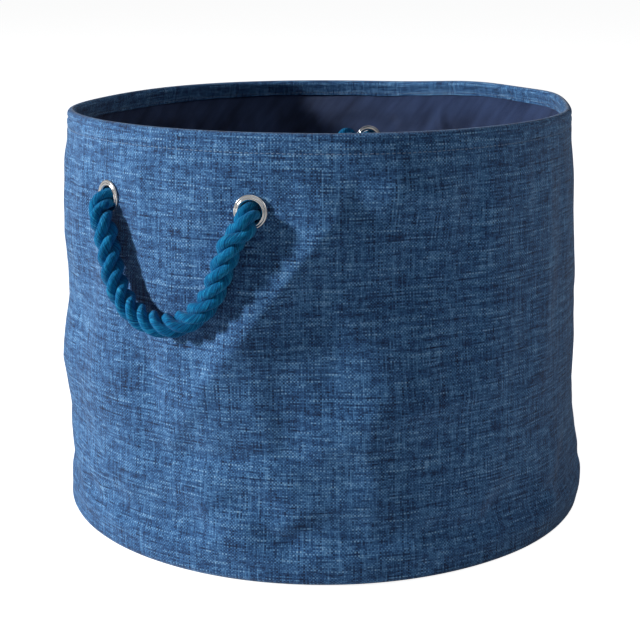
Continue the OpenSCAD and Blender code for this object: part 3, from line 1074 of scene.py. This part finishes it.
def knot_line(aside=0.0):
    """Centreline of an overhand knot behind an eyelet, in the eyelet's frame, with its tail hanging
    down. A loose trefoil is drawn tight: its length shrinks while the rope keeps clear of itself.
    Its bulk rests below the eyelet, or that many radians to one side."""
    n_in, n_core, n_tail, size, last_step = 6, 44, 10, 6.4, 3.5
    clear, stop, rounds, settle = ROPE_D * 0.9, -13.0, 1100, 600
    t = np.linspace(0.10, 2 * np.pi - 0.10, 400)
    wide = 2 + np.cos(3 * t)
    tre = size * np.stack([wide * np.cos(2 * t), wide * np.sin(2 * t), np.sin(3 * t)], 1)
    core = resample(tre, along(tre)[-1] / (n_core - 1))
    step = first_step = np.linalg.norm(core[1] - core[0])
    a = (core[0] - core[1]) / step
    b = core[-1] - core[-2]
    b /= np.linalg.norm(b)
    p = np.vstack([[core[0] + a * step * k for k in range(n_in, 0, -1)], core,
                   [core[-1] + b * step * k for k in range(1, n_tail + 1)]])
    x = np.cross([0, 0, 1.0], a)
    x /= np.linalg.norm(x)
    p = (p - core.mean(0)) @ np.stack([x, np.cross(a, x), a], 1)
    p -= [p[0, 0], p[0, 1], p[0, 2] - 4.0]
    n = len(p)
    bulk, tail = slice(4, 50), slice(-11, None)
    for k in range(rounds):
        f = k / rounds
        step = first_step + (last_step - first_step) * min(1.0, f / 0.8)
        i, j = np.triu_indices(n, int(np.ceil(np.pi * 0.5 * ROPE_D / step)))
        if k == settle:  # the knot's weight brings its bulk below the eyelet
            middle = p[bulk, :2].mean(0)
            h = aside - math.atan2(middle[1], middle[0])
            p[:, :2] = p[:, :2] @ [[math.cos(h), math.sin(h)], [-math.sin(h), math.cos(h)]]
        pull = np.array([0.0, 0.16, 0.0] if k < settle else [0.46, 0.0, 0.0])
        p[tail] += np.linspace(0.0, 1.0, 11)[:, None] * pull * max(0.0, (f - 0.2) / 0.8)
        p[bulk, 0] += 0.004 * (k > settle)
        for _ in range(3):
            p[0], p[1], p[2] = (0, 0, 4.0), (0, 0, 4.0 - step), (0, 0, 4.0 - 2 * step)
            # each link keeps its length, even ones and then odd ones
            for idx in (np.arange(0, n - 1, 2), np.arange(1, n - 1, 2)):
                d = p[idx + 1] - p[idx]
                length = np.linalg.norm(d, axis=1, keepdims=True)
                c = d * (0.5 * (length - step) / length)
                p[idx] += c
                p[idx + 1] -= c
            # no bend gets tighter than these radii
            for off, bend in ((2, 9.5), (4, 9.0)):
                chord = 2 * bend * np.sin(off * step / 2 / bend)
                for phase in range(2):
                    q = np.arange(phase * off // 2, n - off, off)
                    d = p[q + off] - p[q]
                    length = np.linalg.norm(d, axis=1, keepdims=True)
                    c = d / length * 0.25 * np.minimum(0, length - chord)
                    p[q] += c
                    p[q + off] -= c
            # the rope keeps clear of itself and of the wall
            d = p[j] - p[i]
            length = np.linalg.norm(d, axis=1)
            hit = length < clear
            c = d[hit] / length[hit, None] * (0.3 * (length[hit] - clear))[:, None]
            np.add.at(p, i[hit], c)
            np.add.at(p, j[hit], -c)
            p[(np.hypot(p[:, 0], p[:, 1]) > 5.0) & (p[:, 2] > stop), 2] = stop
        p[0], p[1] = (0, 0, 4.0), (0, 0, 0.5)
    return p


KNOT, KNOT_ASIDE = knot_line(), knot_line(1.4)


def loop_line(side):
    """Centreline of the loop from the left eyelet to the right one, first in the hinge's plane,
    with x to the right and y up from the hinge line, and then in the bin."""
    half, depth = EYELET_SPAN / 2, LOOP_DROP - LOOP_R
    tilt = math.acos(LOOP_R / math.hypot(half, depth)) - math.atan2(depth, half)
    end = np.array([LOOP_R * math.cos(tilt), -depth - LOOP_R * math.sin(tilt)])
    start = np.array([half, 0.0])
    leg = [start + (end - start) * f for f in (0.38, 0.55, 0.75, 1.0)]
    right = np.array(leg + arc(0, -depth, LOOP_R, math.degrees(-tilt), -90, 7)[1:])
    flat = np.vstack([right * [-1, 1], right[:-1][::-1]])
    flat[:, 1] *= SAG
    y = -(HINGE_Y - flat[:, 1] * (math.sin(LOOP_LEAN) + FULLER / LOOP_DROP))
    z = EYELET_Z + flat[:, 1] * math.cos(LOOP_LEAN)
    points = np.stack([flat[:, 0], y, z], 1)
    if side == "rear":
        points[:, :2] *= -1
    return points


def handle_line(side):
    """The whole rope of one handle, from tail to tail, and the names of its two eyelets."""
    # seen from outside, the line runs from left to right
    names = ("front_left", "front_right") if side == "front" else ("rear_right", "rear_left")
    mirror = np.array([1, -1, 1])
    first = to_world(names[0], KNOT * mirror)[::-1]
    last = to_world(names[1], KNOT_ASIDE if side == "rear" else KNOT)
    turn_down = np.array([[0.8, -0.2, 0.6], [2.9, -0.7, 4.2], [6.2, -1.6, 7.2], [10.4, -3.0, 9.0]])
    line = np.vstack([first[:-2], to_world(names[0], turn_down * mirror), loop_line(side),
                      to_world(names[1], turn_down[::-1]), last[2:]])
    return smooth_line(line, STEP), names


def frames_along(line):
    """Tangent and two cross directions at each point, carried along without twist."""
    t = np.gradient(line, axis=0)
    t /= np.linalg.norm(t, axis=1, keepdims=True)
    x = np.empty_like(line)
    seed = np.cross(t[0], [0, 0, 1.0])
    if np.linalg.norm(seed) < 0.1:
        seed = np.cross(t[0], [1.0, 0, 0])
    x[0] = seed / np.linalg.norm(seed)
    for k in range(1, len(line)):
        v = x[k - 1] - t[k] * (x[k - 1] @ t[k])
        x[k] = v / np.linalg.norm(v)
    return t, x, np.cross(t, x)


def rope_piece(name, line, s, frames, span, tails, cuts):
    """Three laid strands between two arc lengths of a line. tails says which ends are free, and
    cuts are the arc lengths in the eyelets, where the rope is squeezed."""
    pick = np.flatnonzero((s >= span[0] - 1e-6) & (s <= span[1] + 1e-6))
    here, mid, rows = s[pick], line[pick], len(pick)
    t, x, y = (axis[pick] for axis in frames)
    b = np.linspace(0, 2 * math.pi, STRAND_SIDES, endpoint=False)
    girth = 1 - 0.15 * sum(bell(here - cut, 9.0) for cut in cuts)
    for tail, d in zip(tails, (here - span[0], span[1] - here)):
        if tail:
            girth = girth * np.clip(0.55 + 0.45 * np.sqrt(np.clip(d / 2.4, 0, 1)), 0, 1)
    points, faces, uv = [], [], []
    for strand in range(3):
        theta = 2 * math.pi * (here / LAY + strand / 3) + LAY_START
        out = x * np.cos(theta)[:, None] + y * np.sin(theta)[:, None]
        centre = mid + STRAND_OFF * girth[:, None] * out
        # yarns lie nearly along the rope on the outside of each strand
        spin = -2 * math.pi * here / YARN_LAY + strand
        ridge = np.cos(YARNS * (b[None] + spin[:, None]))
        lump = 0.10 * np.sin(here / 5.3 + strand * 2.1) + 0.08 * np.sin(here / 2.9 + strand)
        radius = (STRAND_R + lump[:, None] + 0.16 * ridge) * girth[:, None]
        ring = x[:, None] * np.cos(b)[None, :, None] + y[:, None] * np.sin(b)[None, :, None]
        first = strand * (rows * STRAND_SIDES + 2)
        points.append((centre[:, None] + radius[..., None] * ring).reshape(-1, 3))
        faces += (grid_faces(rows, STRAND_SIDES, True) + first).tolist()
        uv.append(grid_uv(np.append(b / (2 * math.pi), 1.0), here * MM)[:, ::-1])
        # closed ends, domed where the tail is cut
        for end, (row, way, tail) in enumerate(((0, -1, tails[0]), (rows - 1, 1, tails[1]))):
            points.append((centre[row] + t[row] * (0.9 * way * tail))[None])
            tip = np.full(STRAND_SIDES, first + rows * STRAND_SIDES + end)
            edge = first + row * STRAND_SIDES + np.arange(STRAND_SIDES)
            pair = (edge, np.roll(edge, -1))[::way]
            faces += np.stack([*pair, tip], 1).tolist()
            at = here[row] * MM
            uv.append(np.tile([[at, 0.0], [at, 0.03], [at + 0.002, 0.015]], (STRAND_SIDES, 1)))
    obj = make_mesh(name, np.concatenate(points), faces, ROPE, np.concatenate(uv), "strand")
    return face_outwards(obj)


def build_handle(side):
    line, names = handle_line(side)
    s = along(line)
    frames = frames_along(line)
    cuts = []
    for name in names:
        centre, axes = eyelet_frame(name)
        x, y, z = axes @ (line - centre).T
        near = np.flatnonzero((np.hypot(x, y) < 3) & (z < -1.5) & (z > -6))
        cuts.append(s[near[np.argmin(np.abs(z[near] + 3.0))]])
    loop = rope_piece(f"rope_loop_{side}", line, s, frames, cuts, (False, False), cuts)
    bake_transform(loop)
    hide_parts(f"rope_handle_{side}")
    knots = []
    for name, span, tails in ((names[0], (0.0, cuts[0]), (True, False)),
                              (names[1], (cuts[1], s[-1]), (False, True))):
        knots.append(rope_piece(f"rope_knot_{name}", line, s, frames, span, tails, cuts))
        fit(knots[-1], f"knot_{name}")


# the rope bends on a diagonal between the eyelet and the first part of each leg
for side in ("front", "rear"):
    build_handle(side)


# ---------------------------------------------------------------- floor and surroundings
def build_floor(size=30.0):
    """A pale floor, which the camera sees as nearly white."""
    n = material_nodes("studio_floor")
    ray = n.add("LightPath").outputs["Is Camera Ray"]
    colour = n.mix(n.noise(n.object_place(), 3.0, 1.0), (0.86, 0.86, 0.86), (0.88, 0.88, 0.88))
    paint = n.add("BsdfDiffuse", {"Color": colour}).outputs[0]
    glow = n.add("Emission", {"Color": (1, 1, 1, 1), "Strength": 0.93}).outputs[0]
    both = n.add("AddShader", {0: paint, 1: glow}).outputs[0]
    n.add("OutputMaterial", {0: n.add("MixShader", {0: ray, 1: paint, 2: both}).outputs[0]})
    corners = np.array([(-1, -1, 0), (1, -1, 0), (1, 1, 0), (-1, 1, 0)]) * size / MM
    floor = make_mesh("floor", corners, [[0, 1, 2, 3]], n.holder)
    floor.location.z = -0.0004


def build_world():
    """White to the camera, white but weaker in reflections, and a dim cool light elsewhere."""
    n = Nodes(bpy.data.worlds.new("studio"))
    scene.world = n.holder
    ray = n.add("LightPath").outputs

    def background(colour, strength):
        return n.add("Background", {0: (*colour, 1), 1: strength}).outputs[0]

    lit, mirrored = background((0.90, 0.95, 1.0), 0.032), background((1, 1, 1), 0.38)
    shiny = n.add("MixShader", {0: ray["Is Glossy Ray"], 1: lit, 2: mirrored}).outputs[0]
    seen = background((1, 1, 1), 1.0)
    n.add("OutputWorld", {
        0: n.add("MixShader", {0: ray["Is Camera Ray"], 1: shiny, 2: seen}).outputs[0]})


build_floor()
build_world()
